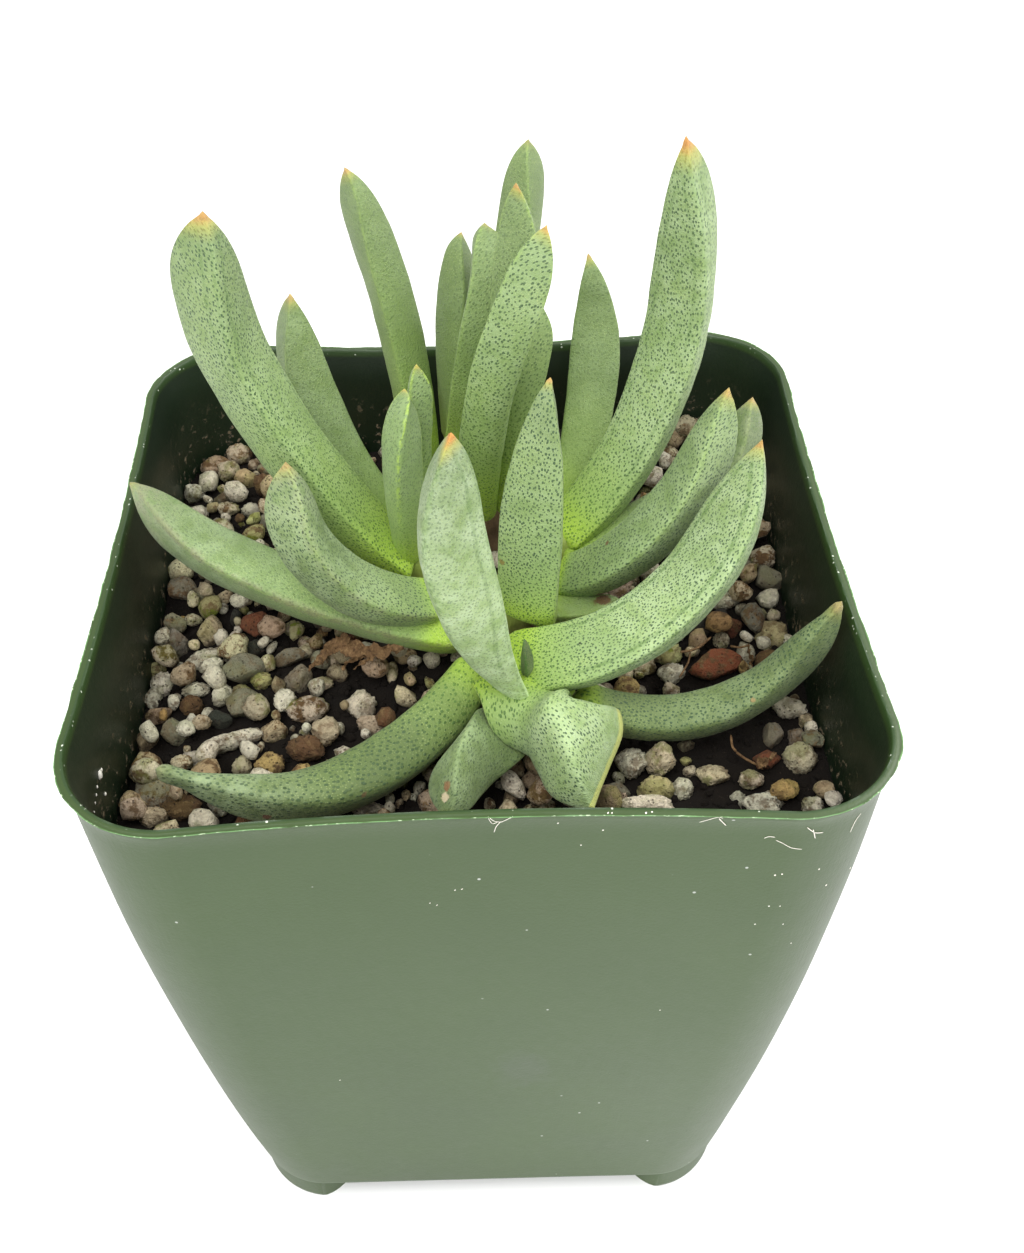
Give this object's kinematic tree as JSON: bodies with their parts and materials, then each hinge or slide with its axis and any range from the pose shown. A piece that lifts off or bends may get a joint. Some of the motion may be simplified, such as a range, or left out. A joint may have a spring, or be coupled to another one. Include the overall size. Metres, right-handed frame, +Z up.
{
  "type": "potted ebracteola wilmaniae",
  "caption": "Clump of upright three-sided succulent leaves growing in coarse pale grit in a square tapered green nursery pot.",
  "frame": {"origin": "middle of the pot's underside, on the surface that its four feet stand on", "axes": "+Z up, -Y towards the pot's front wall, +X to the right seen from the front"},
  "size_m": [0.0636, 0.0636, 0.104],
  "materials": {
    "pot_plastic": "satin",
    "gritty_soil": "matte",
    "woody_stock": "matte",
    "young_leaf": "satin",
    "leaf": "satin",
    "old_leaf": "satin"
  },
  "bodies": {
    "root": {"pot": "pot_plastic", "soil": "gritty_soil", "crown": "woody_stock", "front_bud": "young_leaf", "front_leaf_right": "leaf", "front_leaf_left": "leaf", "front_leaf_back": "leaf", "front_leaf_near": "leaf", "left_leaf_young": "young_leaf", "left_leaf_twin": "young_leaf", "left_leaf_outer": "leaf", "left_leaf_back": "leaf", "back_leaf_near": "leaf", "back_leaf_middle": "leaf", "back_leaf_inner": "leaf", "back_leaf_right": "leaf", "back_leaf_tall": "leaf", "back_leaf_left": "leaf", "back_leaf_slim": "leaf", "right_leaf_outer": "leaf", "right_leaf_back": "leaf", "middle_leaf_right": "leaf", "middle_leaf_left": "leaf", "low_leaf_left": "old_leaf", "low_leaf_right": "old_leaf", "low_leaf_near": "old_leaf", "far_leaf_right": "old_leaf", "far_leaf_left": "old_leaf", "short_leaf_right": "old_leaf"}
  },
  "joints": []
}
